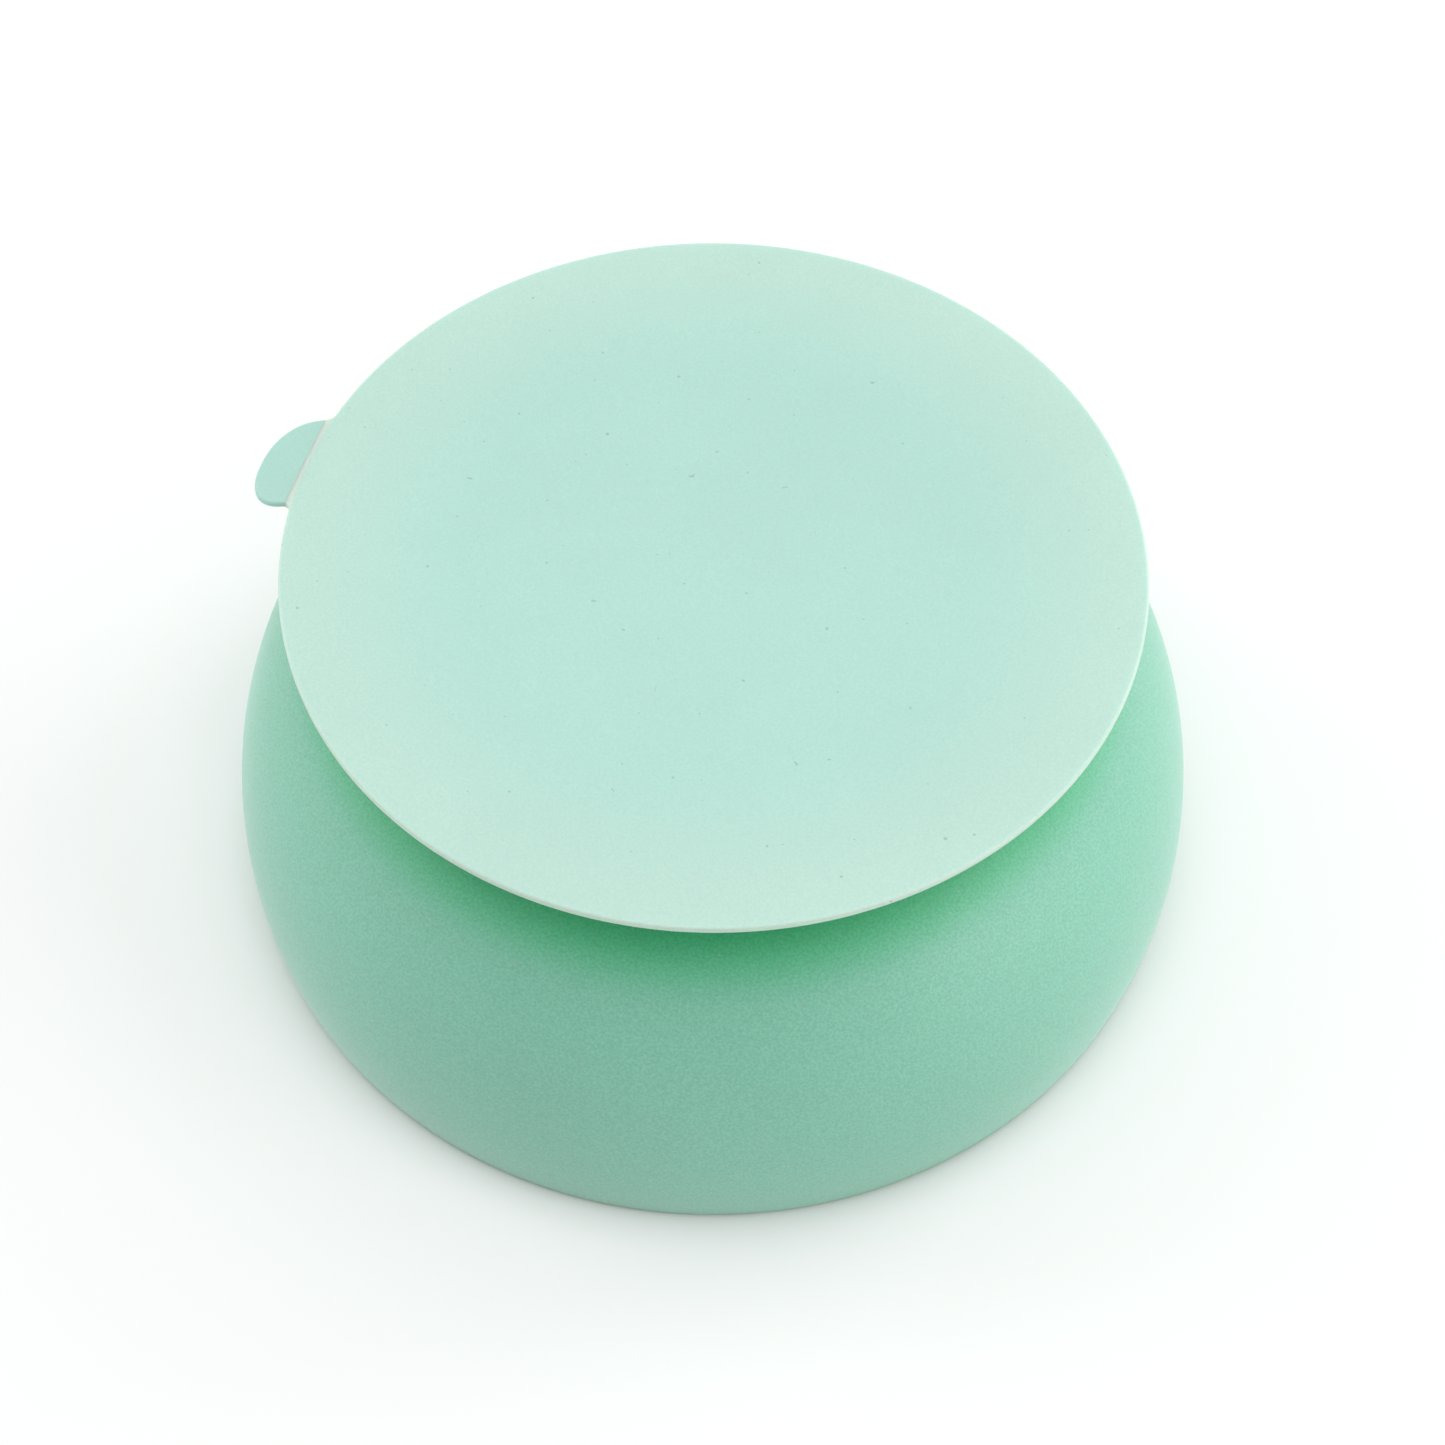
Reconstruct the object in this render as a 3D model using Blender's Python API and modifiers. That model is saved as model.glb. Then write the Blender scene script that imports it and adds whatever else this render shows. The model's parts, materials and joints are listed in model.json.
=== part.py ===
"""Suction bowl for a baby's meals, in soft silicone: a round bowl, and a flat suction disc on a short neck.

It is modelled turned over, standing on its rim, so its suction disc faces up.
Z = 0 is the plane of the rim, +Z points out of the suction face, and -X points to the pull tab.
Every round piece is turned about the Z axis. Lengths are in metres.
"""

import math

import bpy

# Bowl
BOWL_RADIUS = 0.0620  # at its widest
BULGE_HEIGHT = 0.0110  # of the widest place, above the rim
RIM_DRAW_IN = 0.0014  # the wall draws in by this towards the rim
BASE_HEIGHT = 0.0470  # of the flat base, above the rim
BASE_BORDER = 0.0075  # flat base left round the foot of the neck
WALL = 0.0030
FLOOR = 0.0030
RIM_ROUND = 0.0008

# Suction disc
NECK_RADIUS = 0.0285
NECK_HEIGHT = 0.0045  # from the bowl's base to the underside of the hub
NECK_FILLET = 0.0015
HUB_THICKNESS = 0.0024  # at its middle, where the suction face is deepest
HUB_ROUND = 0.0006
DISC_RADIUS = 0.0530
DISH_DEPTH = 0.0015  # of the suction face, below the sealing land
LAND_WIDTH = 0.0030  # of the flat sealing land round the dish
MEMBRANE_THICKNESS = 0.0018  # of the thin web, at the hub
EDGE_THICKNESS = 0.0010  # of the disc's edge and the tab
EDGE_ROUND = 0.0003

# Release edge and pull tab, both on the -X side
RELEASE_DEPTH = 0.0080  # from the disc's edge in to the line that the edge peels along
RELEASE_GAP = 0.0005
LIP_BORDER = 0.0030  # from the peel line in to the web
TAB_RADIUS = 0.0073  # of the half-round lobe, centred on the disc's edge
TAB_ROUND = 0.0004
TAB_DROOP = math.radians(20)  # the tab leans towards the bowl

GAP = 0.0003  # between pieces that touch
FILLET_SHARE = 0.45  # a fillet takes at most this much of the height it is in

STEPS = 72  # round each turned piece
WALL_POINTS = 11  # along a quarter of the bowl's wall
CORNER_POINTS = 4  # along a small rounded corner
FILLET_POINTS = 5  # along each fillet of the neck
DISH_POINTS = 5  # along each piece of the dished face
TAB_POINTS = 25  # round the tab
SHARP = math.radians(50)  # the tab's edges that are rounded turn by more than this

MERGE = 0.00001  # points nearer than this are one point
AXIS_MARK = 0.01  # drawn size of each joint's empty

# Colour and roughness of the silicone where it is thick, in the disc and where it is thin
SILICONE_DEEP = ((0.42, 0.74, 0.63, 1.0), 0.62)
SILICONE = ((0.49, 0.78, 0.70, 1.0), 0.58)
SILICONE_THIN = ((0.55, 0.81, 0.73, 1.0), 0.55)

# Places that follow from the sizes above
FOOT_RADIUS = NECK_RADIUS + NECK_FILLET
BASE_RADIUS = FOOT_RADIUS + BASE_BORDER
HUB_RADIUS = FOOT_RADIUS
LAND_INNER_RADIUS = DISC_RADIUS - LAND_WIDTH
RELEASE_CHORD = DISC_RADIUS - RELEASE_DEPTH
MEMBRANE_RADIUS = RELEASE_CHORD - LIP_BORDER
HUB_UNDERSIDE = BASE_HEIGHT + NECK_HEIGHT
FACE_CENTRE = HUB_UNDERSIDE + HUB_THICKNESS
FACE_HEIGHT = FACE_CENTRE + DISH_DEPTH


def clear_scene():
    for old in list(bpy.data.objects):
        bpy.data.objects.remove(old, do_unlink=True)


def collection(name):
    made = bpy.data.collections.new(name)
    bpy.context.scene.collection.children.link(made)
    return made


def silicone(name, look):
    colour, roughness = look
    material = bpy.data.materials.new(name)
    material.use_nodes = True
    shader = material.node_tree.nodes["Principled BSDF"]
    shader.inputs["Base Color"].default_value = colour
    shader.inputs["Roughness"].default_value = roughness
    shader.inputs["Metallic"].default_value = 0.0
    return material


def arc(centre, radii, start, end, points):
    """Points from start to end, in degrees, on an ellipse in the XZ plane."""
    turns = [math.radians(start + (end - start) * i / (points - 1)) for i in range(points)]
    return [(centre[0] + radii[0] * math.cos(t), centre[1] + radii[1] * math.sin(t)) for t in turns]


def turned(name, profile, material, target, closed):
    """A profile of (radius, height) points turned about Z. It runs down its outer side."""
    mesh = bpy.data.meshes.new(name)
    count = len(profile)
    edges = [(i, i + 1) for i in range(count - 1)]
    if closed:
        edges.append((count - 1, 0))
    mesh.from_pydata([(x, 0.0, z) for x, z in profile], edges, [])
    piece = bpy.data.objects.new(name, mesh)
    target.objects.link(piece)
    screw = piece.modifiers.new("Turn", "SCREW")
    screw.steps = STEPS
    screw.render_steps = STEPS
    screw.use_merge_vertices = True
    screw.merge_threshold = MERGE
    screw.use_smooth_shade = True
    mesh.materials.append(material)
    return piece


def face_at(radius):
    """Height of the dished suction face at a distance from the Z axis."""
    if radius >= LAND_INNER_RADIUS:
        return FACE_HEIGHT
    rise = (1 - math.cos(math.pi * radius / LAND_INNER_RADIUS)) / 2
    return FACE_CENTRE + DISH_DEPTH * rise


def underside_at(radius):
    """Height of the disc's underside outside the hub, which thins towards the edge."""
    along = (radius - HUB_RADIUS) / (DISC_RADIUS - HUB_RADIUS)
    return face_at(radius) - MEMBRANE_THICKNESS + along * (MEMBRANE_THICKNESS - EDGE_THICKNESS)


def spread(start, end, points):
    return [start + (end - start) * i / (points - 1) for i in range(points)]


def bowl_shell(material, target):
    """The bowl itself: a rounded wall, a flat floor and a blunt rim."""
    low_radius = (BULGE_HEIGHT**2 + RIM_DRAW_IN**2) / (2 * RIM_DRAW_IN)
    low_centre = (BOWL_RADIUS - low_radius, BULGE_HEIGHT)
    low_angle = -math.degrees(math.asin((BULGE_HEIGHT - RIM_ROUND) / low_radius))
    shoulder_centre = (BASE_RADIUS, BULGE_HEIGHT)
    outer = (BOWL_RADIUS - BASE_RADIUS, BASE_HEIGHT - BULGE_HEIGHT)
    inner = (outer[0] - WALL, outer[1] - FLOOR)
    inner_low = low_radius - WALL

    profile = [(0.0, BASE_HEIGHT)]
    profile += arc(shoulder_centre, outer, 90, 0, WALL_POINTS)
    profile += arc(low_centre, (low_radius, low_radius), 0, low_angle, CORNER_POINTS)[1:]
    outer_corner = (profile[-1][0] - RIM_ROUND, RIM_ROUND)
    profile += arc(outer_corner, (RIM_ROUND, RIM_ROUND), 0, -90, CORNER_POINTS)[1:]
    inside = arc(low_centre, (inner_low, inner_low), low_angle, 0, CORNER_POINTS)
    inner_corner = (inside[0][0] + RIM_ROUND, RIM_ROUND)
    profile += arc(inner_corner, (RIM_ROUND, RIM_ROUND), -90, -180, CORNER_POINTS)
    profile += inside
    profile += arc(shoulder_centre, inner, 0, 90, WALL_POINTS)[1:]
    profile.append((0.0, BASE_HEIGHT - FLOOR))
    return turned("bowl_shell", profile, material, target, closed=False)


def neck(material, target):
    """The short waisted column that carries the suction disc on the bowl's base."""
    top = HUB_UNDERSIDE - GAP
    bottom = BASE_HEIGHT + GAP
    fillet = min(NECK_FILLET, (top - bottom) * FILLET_SHARE)
    outside = NECK_RADIUS + fillet
    profile = [(0.0, top)]
    profile += arc((outside, top - fillet), (fillet, fillet), 90, 180, FILLET_POINTS)
    profile += arc((outside, bottom + fillet), (fillet, fillet), 180, 270, FILLET_POINTS)
    profile.append((0.0, bottom))
    return turned("neck", profile, material, target, closed=False)


def hub_pad(material, target):
    """The thick middle of the suction disc, over the neck."""
    edge = [(r, face_at(r)) for r in spread(0.0, HUB_RADIUS, DISH_POINTS + 2)]
    corner = (HUB_RADIUS - HUB_ROUND, HUB_UNDERSIDE + HUB_ROUND)
    profile = edge + arc(corner, (HUB_ROUND, HUB_ROUND), 0, -90, CORNER_POINTS)
    profile.append((0.0, HUB_UNDERSIDE))
    return turned("hub_pad", profile, material, target, closed=False)


def ring(name, inner, outer, material, target):
    """A ring of the suction disc between two radii, thinner on its outside."""
    radii = spread(inner, outer, DISH_POINTS)
    top = [(r, face_at(r)) for r in radii]
    below = [(r, underside_at(r)) for r in reversed(radii)]
    return turned(name, top + below, material, target, closed=True)


def lip_ring(name, material, target):
    """The outer ring of the disc: the rest of the dish, the flat sealing land and a thin blunt edge."""
    inner = MEMBRANE_RADIUS + GAP
    dish = spread(inner, LAND_INNER_RADIUS, DISH_POINTS)
    top = [(r, face_at(r)) for r in dish]
    corner = DISC_RADIUS - EDGE_ROUND
    rounded = (EDGE_ROUND, EDGE_ROUND)
    low = FACE_HEIGHT - EDGE_THICKNESS
    top += arc((corner, FACE_HEIGHT - EDGE_ROUND), rounded, 90, 0, CORNER_POINTS)
    edge = arc((corner, low + EDGE_ROUND), rounded, 0, -90, CORNER_POINTS)
    below = [(r, underside_at(r)) for r in reversed(dish)]
    return turned(name, top + edge + below, material, target, closed=True)


def box_cutter(name, low, high, target):
    bpy.ops.mesh.primitive_cube_add(size=1.0)
    cutter = bpy.context.object
    cutter.name = name
    cutter.scale = [b - a for a, b in zip(low, high)]
    cutter.location = [(a + b) / 2 for a, b in zip(low, high)]
    for holder in list(cutter.users_collection):
        holder.objects.unlink(cutter)
    target.objects.link(cutter)
    cutter.hide_render = True
    cutter.display_type = "WIRE"
    return cutter


def beyond_chord(name, distance, target):
    """A cutter that holds all of the disc's edge past a line parallel to Y on the -X side."""
    margin = DISC_RADIUS
    low = (-DISC_RADIUS - margin, -DISC_RADIUS - margin, HUB_UNDERSIDE - margin)
    high = (-distance, DISC_RADIUS + margin, FACE_HEIGHT + margin)
    return box_cutter(name, low, high, target)


def boolean(piece, operation, cutter):
    cut = piece.modifiers.new("Split", "BOOLEAN")
    cut.operation = operation
    cut.object = cutter
    cut.solver = "EXACT"


def pull_tab(material, target):
    """A thin half-round lobe. Its origin is on its fold line, just outside the disc's edge."""
    half = EDGE_THICKNESS / 2
    leaning_half = half * (math.cos(TAB_DROOP) + math.sin(TAB_DROOP))
    fold_from_edge = GAP + half
    reach = math.acos(GAP / TAB_RADIUS)
    turns = spread(-reach, reach, TAB_POINTS)
    outline = bpy.data.curves.new("pull_tab", "CURVE")
    outline.dimensions = "2D"
    outline.fill_mode = "BOTH"
    outline.extrude = half
    spline = outline.splines.new("POLY")
    spline.points.add(TAB_POINTS - 1)
    for point, turn in zip(spline.points, turns):
        x = TAB_RADIUS * math.cos(turn) - fold_from_edge
        point.co = (x, TAB_RADIUS * math.sin(turn), 0.0, 1.0)
    spline.use_cyclic_u = True
    tab = bpy.data.objects.new("pull_tab", outline)
    target.objects.link(tab)
    weld = tab.modifiers.new("Weld", "WELD")
    weld.merge_threshold = MERGE
    rounded = tab.modifiers.new("Round", "BEVEL")
    rounded.width = TAB_ROUND
    rounded.segments = 3
    rounded.limit_method = "ANGLE"
    rounded.angle_limit = SHARP
    tab.location = (-DISC_RADIUS - fold_from_edge, 0.0, FACE_HEIGHT - leaning_half)
    tab.rotation_euler = (0.0, TAB_DROOP, math.pi)
    outline.materials.append(material)
    return tab


def axis_empty(name, location, target, parent=None):
    empty = bpy.data.objects.new(name, None)
    empty.empty_display_size = AXIS_MARK
    empty.location = location
    target.objects.link(empty)
    if parent:
        attach(empty, parent)
    return empty


def attach(child, parent):
    """Parents child without moving it."""
    bpy.context.view_layer.update()
    child.parent = parent
    child.matrix_parent_inverse = parent.matrix_world.inverted()


def build():
    clear_scene()
    parts = collection("suction_bowl")
    cutters = collection("cutters")

    body = silicone("silicone_body", SILICONE_DEEP)
    disc = silicone("silicone_disc", SILICONE)
    thin = silicone("silicone_thin", SILICONE_THIN)

    bowl_shell(body, parts)
    neck(body, parts)
    hub_pad(disc, parts)
    ring("membrane", HUB_RADIUS + GAP, MEMBRANE_RADIUS, thin, parts)

    lip = lip_ring("sealing_lip", disc, parts)
    release = lip_ring("release_edge", disc, parts)
    keep_out = beyond_chord("lip_cutter", RELEASE_CHORD - RELEASE_GAP / 2, cutters)
    keep_in = beyond_chord("release_cutter", RELEASE_CHORD + RELEASE_GAP / 2, cutters)
    boolean(lip, "DIFFERENCE", keep_out)
    boolean(release, "INTERSECT", keep_in)
    tab = pull_tab(thin, parts)

    press = axis_empty("disc_press_axis", (0.0, 0.0, FACE_HEIGHT), parts)
    middle = (face_at(RELEASE_CHORD) + underside_at(RELEASE_CHORD)) / 2
    peel = axis_empty("edge_peel_axis", (-RELEASE_CHORD, 0.0, middle), parts, press)
    attach(lip, press)
    attach(release, peel)
    attach(tab, peel)


build()
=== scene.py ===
"""The looks of the suction bowl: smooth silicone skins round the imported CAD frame, on a white table."""

import json
import math

import bpy
import bmesh
import numpy as np
from mathutils import Matrix, Vector


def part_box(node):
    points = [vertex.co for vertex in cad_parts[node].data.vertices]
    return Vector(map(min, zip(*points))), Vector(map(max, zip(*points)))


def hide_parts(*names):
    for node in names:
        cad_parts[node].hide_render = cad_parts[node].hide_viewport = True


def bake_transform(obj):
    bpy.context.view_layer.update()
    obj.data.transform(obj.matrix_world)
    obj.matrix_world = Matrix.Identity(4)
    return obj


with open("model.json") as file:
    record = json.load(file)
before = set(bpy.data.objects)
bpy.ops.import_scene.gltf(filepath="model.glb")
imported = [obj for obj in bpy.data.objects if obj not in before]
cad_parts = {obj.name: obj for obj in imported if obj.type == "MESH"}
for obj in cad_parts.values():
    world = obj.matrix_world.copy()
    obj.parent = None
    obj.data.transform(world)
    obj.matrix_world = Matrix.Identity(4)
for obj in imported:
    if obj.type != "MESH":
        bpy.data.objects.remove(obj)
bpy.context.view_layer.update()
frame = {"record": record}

# Places from the frame, in metres
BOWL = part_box("bowl_shell")
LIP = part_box("sealing_lip")
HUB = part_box("hub_pad")
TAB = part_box("pull_tab")
JOINTS = {joint["name"]: joint for joint in frame["record"]["behaviour"]["joints"]}

BOWL_RADIUS = BOWL[1].x
BASE_Z = BOWL[1].z
DISC_RADIUS = LIP[1].x
FACE_Z = LIP[1].z
HUB_RADIUS = HUB[1].x
TAB_HALF_WIDTH = TAB[1].y
DISH_DEPTH = JOINTS["disc_press"]["range_m"][1]

# Shape of the bowl, which the boxes don't give
BULGE_Z = 0.0110
RIM_DRAW_IN = 0.0014
BASE_RADIUS = 0.0375
WALL = 0.0030
RIM_ROUND = 0.0014
NECK_RADIUS = 0.0285
NECK_FOOT = 0.0020  # radius of the fillet on to the bowl
NECK_HEAD = 0.0028  # and of the fillet up to the disc
NECK_SUNK = 0.0003  # how far the neck's top is hidden inside the disc

# Shape of the suction disc and its tab
LAND_WIDTH = 0.0030
WEB_THICKNESS = 0.0018
EDGE_THICKNESS = 0.0010
EDGE_ROUND = 0.00038
TAB_REACH = 0.0065  # past the disc's edge, in plan
TAB_HALF = TAB_HALF_WIDTH - 0.0002
TAB_SQUARENESS = 2.3  # 2 is a half ellipse, and more has fuller corners
TAB_FILLET = 0.0013  # in plan, where the tab leaves the disc
TAB_SLOPE = math.tan(math.radians(25))
TAB_BEND = 0.0012  # the tab's lean builds up over this distance from the disc's edge
TAB_SPLIT = DISC_RADIUS + 0.0002  # the tab is a piece of its own from here
LAND_INNER_RADIUS = DISC_RADIUS - LAND_WIDTH

# Fineness of the skins
TURN_STEPS = 288
SHOULDER_STEPS = 72
INSIDE_STEPS = 56
LOW_WALL_STEPS = 12
ROUND_STEPS = 8
NECK_HEAD_STEPS = 10
NECK_FOOT_STEPS = 8
FLOOR_SHARES = (0.67, 0.33)  # of the base's radius
DISC_STEPS = 244
FACE_RINGS = 33
LAND_RINGS = 10
EDGE_RINGS = 5
FILLET_STEPS = 8
TAB_STEPS = 40

# Surface of the silicone
GRAIN_SCALE = 3200.0  # a grain of about a third of a millimetre
GRAIN_SPAN = (0.3, 0.7)  # the part of the noise that is used
GRAIN_WHITE = 0.2  # how much of the grain is white
GRAIN_BUMP = 0.25
GRAIN_DEPTH = 0.00006
MOTTLE_SCALE = 45.0
MOTTLE = 0.012
ROUGHNESS_SCALE = GRAIN_SCALE / 3
ROUGHNESS_SPREAD = 0.04
DUST_SCALE = 1300.0
DUST_SPAN = (0.845, 0.875)
DUST = (0.24, 0.39, 0.33)
WHITE = (1.0, 1.0, 1.0)
SPECULAR = 0.9
SHEEN = 0.36
SHEEN_ROUGHNESS = 0.4
REFRACTION = 1.62
DEPTH_SCALE = 0.0030  # how far light travels inside the silicone
DEPTH_TINT = (0.5, 1.0, 0.75)
# Over this span the painted shade on surfaces that face down fades out.
UNDERSIDE_SPAN = (-0.9, -0.5)  # upward part of the normal, from facing down to not

# Roughness, contrast of the grain, and share of the light that travels inside
BODY_FINISH = (0.60, 0.085, 0.30)
DISC_FINISH = (0.55, 0.03, 0.45)
TAB_FINISH = (0.55, 0.03, 0.30)

# Between these heights the body's green deepens into painted shade in the groove.
GROOVE_SPAN = (0.0380, 0.0445)  # heights between which the body's colour deepens
# Between these radii the disc's painted light grows, towards its thin edge.
PAINTED_LIGHT_SPAN = (0.0300, 0.0530)  # radii between which the disc's colour pales
# Between these radii the disc edge's painted light gives way to the tab's painted shade.
TAB_SPAN = (0.0520, 0.0540)

# Base colours, from the groove to the disc's edge. One silicone: the groove's and the undersides' deep
# greens are painted shade, the disc's paler greens are painted light with a painted highlight on the rim,
# and the tab's green is painted light with painted shade as it leans away.
GROOVE_PAINTED_SHADE = (0.008, 0.475, 0.190)
UNDERSIDE_PAINTED_SHADE = (0.003, 0.45, 0.150)
BODY_GREEN = (0.152, 0.462, 0.328)
DISC_PAINTED_LIGHT_GREEN = (0.314, 0.541, 0.472)
EDGE_PAINTED_LIGHT_GREEN = (0.366, 0.538, 0.476)
RIM_PAINTED_HIGHLIGHT = (0.45, 0.56, 0.48)
TAB_PAINTED_LIGHT_SHADE_GREEN = (0.272, 0.495, 0.428)

# The studio
TABLE_SIZE = 8.0
TABLE_WHITE = 0.795
SKY = 0.98
DIM = 0.26  # of the sky's strength, straight behind the camera
DIM_SPAN = (0.1, 0.85)
LIGHT_DISTANCE = 0.9
# Each softbox as azimuth, elevation and half its width in degrees, and radiance
SOFTBOXES = {
    "overhead": (-90, 80, 20, 2.85),
    "right": (-28, 14, 18, 2.7),
    "right_back": (32, 20, 16, 3.1),
    "left_back": (158, 26, 18, 2.0),
}

VIEW_AZIMUTH = 16.5  # degrees that the camera stands round from -Y, so that the tab is left of the back
VIEW_ELEVATION = 54.57
VIEW_DISTANCE = 0.4302
VIEW_ROLL = 0.54
SENSOR_WIDTH = 36.0
FOCAL_LENGTH = 82.21  # in mm
NEAR_CLIP = 0.01
AIM_RIGHT = 0.00121
AIM_HEIGHT = 0.02110


def arc(centre, radii, start, end, points):
    """Points (radius, height) on an ellipse, from start to end in degrees."""
    turns = np.radians(np.linspace(start, end, points))
    return [(centre[0] + radii[0] * math.cos(t), centre[1] + radii[1] * math.sin(t)) for t in turns]


def lofted(first, rings, last):
    """A closed bmesh through rings of points, between a first and a last point."""
    shape = bmesh.new()
    top = shape.verts.new(first)
    bottom = shape.verts.new(last)
    rows = [[shape.verts.new(point) for point in ring] for ring in rings]
    count = len(rows[0])
    for i in range(count):
        after = (i + 1) % count
        shape.faces.new((top, rows[0][i], rows[0][after]))
        shape.faces.new((bottom, rows[-1][after], rows[-1][i]))
        for above, below in zip(rows, rows[1:]):
            shape.faces.new((above[i], below[i], below[after], above[after]))
    bmesh.ops.recalc_face_normals(shape, faces=shape.faces)
    return shape


def finished(name, shape, material):
    """A smooth shaded object made from a bmesh."""
    for face in shape.faces:
        face.smooth = True
    mesh = bpy.data.meshes.new(name)
    shape.to_mesh(mesh)
    shape.free()
    mesh.materials.append(material)
    piece = bpy.data.objects.new(name, mesh)
    bpy.context.scene.collection.objects.link(piece)
    return piece


def face_at(radius):
    """Height of the dished suction face, and of the tab that leans away beyond the disc's edge."""
    beyond = radius - DISC_RADIUS
    if beyond > TAB_BEND:
        return FACE_Z - TAB_SLOPE * (beyond - TAB_BEND / 2)
    if beyond > 0:
        return FACE_Z - TAB_SLOPE * beyond**2 / (2 * TAB_BEND)
    if radius > LAND_INNER_RADIUS:
        return FACE_Z
    return FACE_Z - DISH_DEPTH * (1 + math.cos(math.pi * radius / LAND_INNER_RADIUS)) / 2


def thickness_at(radius):
    """The disc is thickest over the neck and thins to its edge. The tab is as thick as the edge."""
    along = (radius - HUB_RADIUS) / (DISC_RADIUS - HUB_RADIUS)
    return WEB_THICKNESS + min(1.0, max(0.0, along)) * (EDGE_THICKNESS - WEB_THICKNESS)


def bowl_body(material):
    """The bowl and the neck as one moulding, with fillets at the neck's foot and head."""
    low_radius = (BULGE_Z**2 + RIM_DRAW_IN**2) / (2 * RIM_DRAW_IN)
    low_centre = (BOWL_RADIUS - low_radius, BULGE_Z)
    low_angle = -math.degrees(math.asin((BULGE_Z - RIM_ROUND) / low_radius))
    low_outer = (low_radius, low_radius)
    low_inner = (low_radius - WALL, low_radius - WALL)
    shoulder = (BASE_RADIUS, BULGE_Z)
    outer = (BOWL_RADIUS - BASE_RADIUS, BASE_Z - BULGE_Z)
    inner = (outer[0] - WALL, outer[1] - WALL)
    rounded = (RIM_ROUND, RIM_ROUND)
    foot = (NECK_FOOT, NECK_FOOT)
    head = (NECK_HEAD, NECK_HEAD)
    head_radius = NECK_RADIUS + NECK_HEAD
    head_z = face_at(head_radius) - thickness_at(head_radius)
    top = head_z + NECK_SUNK
    floor = BASE_Z - WALL

    profile = [(radius, top) for radius in (head_radius / 2, head_radius)]
    profile += arc((head_radius, head_z - NECK_HEAD), head, 90, 180, NECK_HEAD_STEPS)
    profile += arc((NECK_RADIUS + NECK_FOOT, BASE_Z + NECK_FOOT), foot, 180, 270, NECK_FOOT_STEPS)
    profile += arc(shoulder, outer, 90, 0, SHOULDER_STEPS)
    profile += arc(low_centre, low_outer, 0, low_angle, LOW_WALL_STEPS)[1:]
    profile += arc((profile[-1][0] - RIM_ROUND, RIM_ROUND), rounded, 0, -90, ROUND_STEPS)[1:]
    inside = arc(low_centre, low_inner, low_angle, 0, LOW_WALL_STEPS)
    profile += arc((inside[0][0] + RIM_ROUND, RIM_ROUND), rounded, -90, -180, ROUND_STEPS)
    profile += inside
    profile += arc(shoulder, inner, 0, 90, INSIDE_STEPS)[1:]
    profile += [(BASE_RADIUS * share, floor) for share in FLOOR_SHARES]

    turns = np.linspace(0, 2 * math.pi, TURN_STEPS, endpoint=False)
    rings = [[(radius * math.cos(t), radius * math.sin(t), z) for t in turns] for radius, z in profile]
    return finished("bowl_body", lofted((0, 0, top), rings, (0, 0, floor)), material)


def disc_outline():
    """The plan outline of disc and tab, anticlockwise, and the angle of the spoke that meets each point."""
    side = TAB_HALF + TAB_FILLET
    root = -math.sqrt((DISC_RADIUS + TAB_FILLET) ** 2 - side**2)
    touch = math.asin(side / (DISC_RADIUS + TAB_FILLET))
    leave = math.pi - touch
    around = np.linspace(-leave, leave, DISC_STEPS)
    outline = [(DISC_RADIUS * math.cos(t), DISC_RADIUS * math.sin(t)) for t in around]
    # The fillet turns from the disc's edge to the straight side of the tab.
    into = np.linspace(leave - math.pi, -math.pi / 2, FILLET_STEPS + 1)[1:]
    outline += [(root + TAB_FILLET * math.cos(t), side + TAB_FILLET * math.sin(t)) for t in into]
    length = DISC_RADIUS + TAB_REACH + root
    power = 2 / TAB_SQUARENESS
    for t in np.linspace(-math.pi / 2, math.pi / 2, TAB_STEPS + 1)[1:-1]:
        across = -math.copysign(abs(math.sin(t)) ** power, t)
        outline.append((root - length * math.cos(t) ** power, TAB_HALF * across))
    out = -into[::-1]
    outline += [(root + TAB_FILLET * math.cos(t), -side + TAB_FILLET * math.sin(t)) for t in out]
    rest = len(outline) - len(around)
    spokes = list(around) + [leave + 2 * touch * (i + 1) / (rest + 1) for i in range(rest)]
    return np.array(outline), np.array(spokes)


def disc_skin():
    """The whole suction disc with its tab, as one closed bmesh with a fine rounded edge."""
    outline, spokes = disc_outline()
    along = np.roll(outline, -1, axis=0) - np.roll(outline, 1, axis=0)
    along /= np.linalg.norm(along, axis=1)[:, None]
    inward = np.stack([-along[:, 1], along[:, 0]], axis=1)
    spokes = np.stack([np.cos(spokes), np.sin(spokes)], axis=1)
    land = spokes * LAND_INNER_RADIUS
    edge = outline + inward * EDGE_ROUND

    flat = [spokes * radius for radius in np.linspace(0, LAND_INNER_RADIUS, FACE_RINGS + 1)[1:]]
    flat += [land + (edge - land) * share for share in np.linspace(0, 1, LAND_RINGS + 1)[1:]]
    turns = np.linspace(0, math.pi / 2, EDGE_RINGS + 1)[1:]
    rounded = [outline + inward * EDGE_ROUND * (1 - math.sin(t)) for t in turns]
    drops = [EDGE_ROUND * (1 - math.cos(t)) for t in turns]
    # Each row is its plan, its drop from the surface, and 1 if it is on the underside.
    rows = [(plan, 0.0, 0.0) for plan in flat]
    rows += [(plan, drop, 0.0) for plan, drop in zip(rounded, drops)]
    rows += [(plan, -drop, 1.0) for plan, drop in zip(rounded[::-1], drops[::-1])]
    rows += [(plan, 0.0, 1.0) for plan in flat[::-1]]

    rings = []
    for plan, drop, under in rows:
        radii = np.hypot(plan[:, 0], plan[:, 1])
        heights = [face_at(r) - drop - under * thickness_at(r) for r in radii]
        rings.append([(x, y, z) for (x, y), z in zip(plan, heights)])
    middle = face_at(0.0)
    return lofted((0, 0, middle), rings, (0, 0, middle - thickness_at(0.0)))


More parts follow.
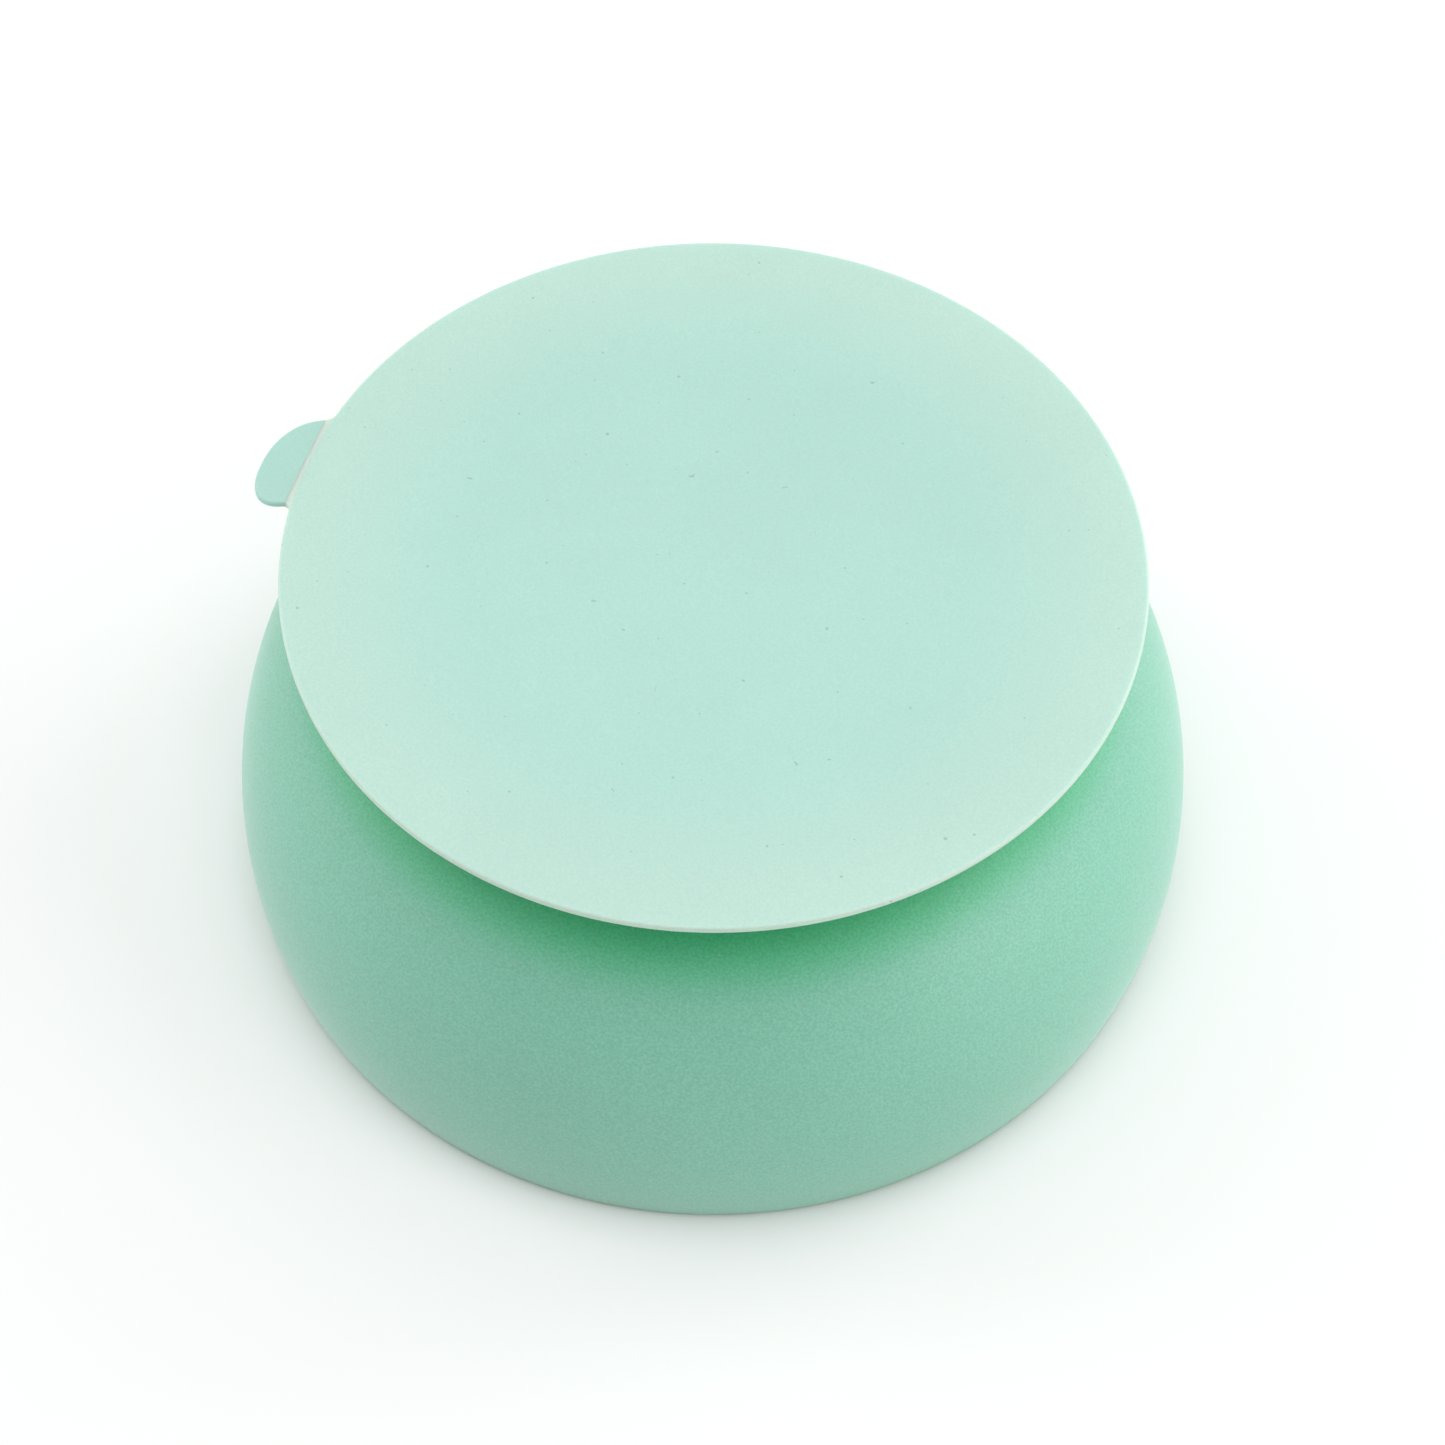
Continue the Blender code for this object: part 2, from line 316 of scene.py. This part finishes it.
def one_side(shape, keep):
    """One side of a closed bmesh, cut and capped where the tab is split. Keep is 1 for the disc."""
    part = shape.copy()
    geometry = part.verts[:] + part.edges[:] + part.faces[:]
    plane = (-TAB_SPLIT, 0, 0)
    bmesh.ops.bisect_plane(part, geom=geometry, plane_co=plane, plane_no=(-keep, 0, 0), clear_outer=True)
    cut = [edge for edge in part.edges if edge.is_boundary]
    bmesh.ops.holes_fill(part, edges=cut)
    for edge in cut:
        edge.smooth = False
    return part


class Look:
    """A material's node tree, with short ways to add the nodes that a silicone needs."""

    def __init__(self, name):
        self.material = bpy.data.materials.new(name)
        self.material.use_nodes = True
        self.nodes = self.material.node_tree.nodes
        self.link = self.material.node_tree.links.new
        self.shader = self.nodes["Principled BSDF"]
        self.place = self.nodes.new("ShaderNodeTexCoord").outputs["Object"]

    def noise(self, scale, detail=2.0):
        node = self.nodes.new("ShaderNodeTexNoise")
        node.inputs["Scale"].default_value = scale
        node.inputs["Detail"].default_value = detail
        self.link(self.place, node.inputs["Vector"])
        return node.outputs["Fac"]

    def ramp(self, value, low, high, start=0.0, end=1.0):
        """Value from low to high becomes start to end, eased at both ends."""
        node = self.nodes.new("ShaderNodeMapRange")
        node.interpolation_type = "SMOOTHSTEP"
        for socket, amount in (("From Min", low), ("From Max", high), ("To Min", start), ("To Max", end)):
            node.inputs[socket].default_value = amount
        self.link(value, node.inputs["Value"])
        return node.outputs["Result"]

    def mix(self, share, first, second):
        node = self.nodes.new("ShaderNodeMix")
        node.data_type = "RGBA"
        self.link(share, node.inputs["Factor"])
        for socket, colour in ((node.inputs[6], first), (node.inputs[7], second)):
            if isinstance(colour, tuple):
                socket.default_value = (*colour, 1.0)
            else:
                self.link(colour, socket)
        return node.outputs[2]

    def scaled(self, colour, amount):
        node = self.nodes.new("ShaderNodeVectorMath")
        node.operation = "SCALE"
        self.link(colour, node.inputs[0])
        self.link(amount, node.inputs["Scale"])
        return node.outputs["Vector"]

    def height(self):
        node = self.nodes.new("ShaderNodeSeparateXYZ")
        self.link(self.place, node.inputs[0])
        return node.outputs["Z"]

    def radius(self):
        flat = self.nodes.new("ShaderNodeVectorMath")
        flat.operation = "MULTIPLY"
        flat.inputs[1].default_value = (1.0, 1.0, 0.0)
        length = self.nodes.new("ShaderNodeVectorMath")
        length.operation = "LENGTH"
        self.link(self.place, flat.inputs[0])
        self.link(flat.outputs["Vector"], length.inputs[0])
        return length.outputs["Value"]

    def facing_down(self):
        """1 where the surface faces down, towards the groove, and 0 elsewhere: the mask of the painted
        shade on undersides.
        """
        facing = self.nodes.new("ShaderNodeNewGeometry").outputs["True Normal"]
        node = self.nodes.new("ShaderNodeSeparateXYZ")
        self.link(facing, node.inputs[0])
        return self.ramp(node.outputs["Z"], *UNDERSIDE_SPAN, 1.0, 0.0)


def body_colour(look):
    """Painted shade: a deeper green in the groove, by height, for the shade there, where light arrives only
    after it has met the silicone on both sides.
    """
    return look.mix(look.ramp(look.height(), *GROOVE_SPAN), BODY_GREEN, GROOVE_PAINTED_SHADE)


def disc_colour(look):
    """Painted light: a paler green than the body's on the disc's lit face, paler still as the disc thins,
    where light shows through, and a painted highlight on its rounded edge.
    """
    radius = look.radius()
    colour = look.mix(look.ramp(radius, *PAINTED_LIGHT_SPAN), DISC_PAINTED_LIGHT_GREEN, EDGE_PAINTED_LIGHT_GREEN)
    return look.mix(look.ramp(radius, DISC_RADIUS - EDGE_ROUND, DISC_RADIUS), colour, RIM_PAINTED_HIGHLIGHT)


def tab_colour(look):
    """From the disc's edge to the tab's green: painted light like the disc's, with painted shade as the tab
    leans away from the lights.
    """
    return look.mix(look.ramp(look.radius(), *TAB_SPAN), EDGE_PAINTED_LIGHT_GREEN, TAB_PAINTED_LIGHT_SHADE_GREEN)


def silicone(name, body, roughness, contrast, depth):
    """Matte moulded silicone with a fine grain, faint mottling and a few specks of dust."""
    look = Look(name)
    # Painted shade: a deep green on every surface that faces down.
    colour = look.mix(look.facing_down(), body(look), UNDERSIDE_PAINTED_SHADE)
    grain = look.noise(GRAIN_SCALE)
    colour = look.scaled(colour, look.ramp(grain, *GRAIN_SPAN, 1 - contrast, 1 + contrast))
    colour = look.mix(look.ramp(grain, *GRAIN_SPAN, 0.0, contrast * GRAIN_WHITE), colour, WHITE)
    mottle = look.noise(MOTTLE_SCALE)
    colour = look.scaled(colour, look.ramp(mottle, *GRAIN_SPAN, 1 - MOTTLE, 1 + MOTTLE))
    dust = look.ramp(look.noise(DUST_SCALE, 0.0), *DUST_SPAN)
    colour = look.mix(dust, colour, DUST)
    look.link(colour, look.shader.inputs["Base Color"])
    smoothest, roughest = roughness - ROUGHNESS_SPREAD, roughness + ROUGHNESS_SPREAD
    rough = look.ramp(look.noise(ROUGHNESS_SCALE), *GRAIN_SPAN, smoothest, roughest)
    look.link(rough, look.shader.inputs["Roughness"])

    bump = look.nodes.new("ShaderNodeBump")
    bump.inputs["Strength"].default_value = GRAIN_BUMP
    bump.inputs["Distance"].default_value = GRAIN_DEPTH
    look.link(grain, bump.inputs["Height"])
    look.link(bump.outputs["Normal"], look.shader.inputs["Normal"])

    look.shader.inputs["Subsurface Weight"].default_value = depth
    look.shader.inputs["Subsurface Radius"].default_value = DEPTH_TINT
    look.shader.inputs["Subsurface Scale"].default_value = DEPTH_SCALE
    look.shader.inputs["Specular IOR Level"].default_value = SPECULAR
    look.shader.inputs["IOR"].default_value = REFRACTION
    look.shader.inputs["Sheen Weight"].default_value = SHEEN
    look.shader.inputs["Sheen Roughness"].default_value = SHEEN_ROUGHNESS
    return look.material


def table():
    """The white ground that the bowl stands on."""
    bpy.ops.mesh.primitive_plane_add(size=TABLE_SIZE, location=(0.0, 0.0, 0.0))
    ground = bpy.context.object
    ground.name = "table"
    material = bpy.data.materials.new("white_table")
    material.use_nodes = True
    shader = material.node_tree.nodes["Principled BSDF"]
    shader.inputs["Base Color"].default_value = (TABLE_WHITE, TABLE_WHITE, TABLE_WHITE, 1.0)
    shader.inputs["Roughness"].default_value = 1.0
    shader.inputs["Specular IOR Level"].default_value = 0.0
    ground.data.materials.append(material)


def softbox(name, azimuth, elevation, half_angle, radiance):
    """A round light aimed at the bowl. Azimuth 0 is to the camera's right, and 90 is behind the bowl."""
    a, e = math.radians(VIEW_AZIMUTH + azimuth), math.radians(elevation)
    away = Vector((math.cos(e) * math.cos(a), math.cos(e) * math.sin(a), math.sin(e)))
    radius = LIGHT_DISTANCE * math.tan(math.radians(half_angle))
    data = bpy.data.lights.new(name, "AREA")
    data.shape = "DISK"
    data.size = 2 * radius
    data.energy = radiance * (math.pi * radius) ** 2
    light = bpy.data.objects.new(name, data)
    light.location = Vector((0.0, 0.0, BASE_Z)) + away * LIGHT_DISTANCE
    light.rotation_euler = away.to_track_quat("Z", "Y").to_euler()
    bpy.context.scene.collection.objects.link(light)


def studio():
    """A white room, darker on the side that the camera is on, with soft lights."""
    world = bpy.data.worlds.new("studio")
    world.use_nodes = True
    nodes, link = world.node_tree.nodes, world.node_tree.links.new
    side = nodes.new("ShaderNodeVectorMath")
    side.operation = "DOT_PRODUCT"
    turn = math.radians(VIEW_AZIMUTH)
    side.inputs[1].default_value = (math.sin(turn), -math.cos(turn), 0.0)
    link(nodes.new("ShaderNodeTexCoord").outputs["Generated"], side.inputs[0])
    dim = nodes.new("ShaderNodeMapRange")
    dim.interpolation_type = "SMOOTHSTEP"
    for socket, amount in zip(("From Min", "From Max", "To Min", "To Max"), (*DIM_SPAN, SKY, SKY * DIM)):
        dim.inputs[socket].default_value = amount
    link(side.outputs["Value"], dim.inputs["Value"])
    background = nodes["Background"]
    background.inputs["Color"].default_value = (*WHITE, 1.0)
    link(dim.outputs["Result"], background.inputs["Strength"])
    bpy.context.scene.world = world
    for name, (azimuth, elevation, half_angle, radiance) in SOFTBOXES.items():
        softbox(name, azimuth, elevation, half_angle, radiance)
    settings = bpy.context.scene.view_settings
    settings.view_transform = "Standard"
    settings.look = "None"


def camera():
    """The camera, above the front of the bowl and aimed near its middle."""
    turn, tilt, roll = (math.radians(x) for x in (VIEW_AZIMUTH, VIEW_ELEVATION, VIEW_ROLL))
    right = Vector((math.cos(turn), math.sin(turn), 0.0))
    ahead = Vector((-math.sin(turn), math.cos(turn), 0.0))
    back = -math.cos(tilt) * ahead + Vector((0.0, 0.0, math.sin(tilt)))
    up = back.cross(right)
    rolled_right = math.cos(roll) * right + math.sin(roll) * up
    rolled_up = math.cos(roll) * up - math.sin(roll) * right
    data = bpy.data.cameras.new("camera")
    data.sensor_width = SENSOR_WIDTH
    data.lens = FOCAL_LENGTH
    data.clip_start = NEAR_CLIP
    eye = bpy.data.objects.new("camera", data)
    rotation = Matrix((rolled_right, rolled_up, back)).transposed().to_4x4()
    place = AIM_RIGHT * right + Vector((0.0, 0.0, AIM_HEIGHT)) + back * VIEW_DISTANCE
    eye.matrix_world = Matrix.Translation(place) @ rotation
    bpy.context.scene.collection.objects.link(eye)
    bpy.context.scene.camera = eye


camera()
table()
studio()

# One silicone in three materials, whose colours carry painted shade in the groove and on undersides, and
# painted light on the disc and tab.
body_silicone = silicone("body_silicone", body_colour, *BODY_FINISH)
disc_silicone = silicone("disc_silicone", disc_colour, *DISC_FINISH)
tab_silicone = silicone("tab_silicone", tab_colour, *TAB_FINISH)

bowl = bowl_body(body_silicone)
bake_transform(bowl)
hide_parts("bowl_shell", "neck")

whole = disc_skin()
disc = finished("suction_disc", one_side(whole, 1), disc_silicone)
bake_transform(disc)
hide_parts("hub_pad", "membrane", "sealing_lip", "release_edge")

tab = finished("tab_skin", one_side(whole, -1), tab_silicone)
whole.free()
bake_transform(tab)
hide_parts("pull_tab")
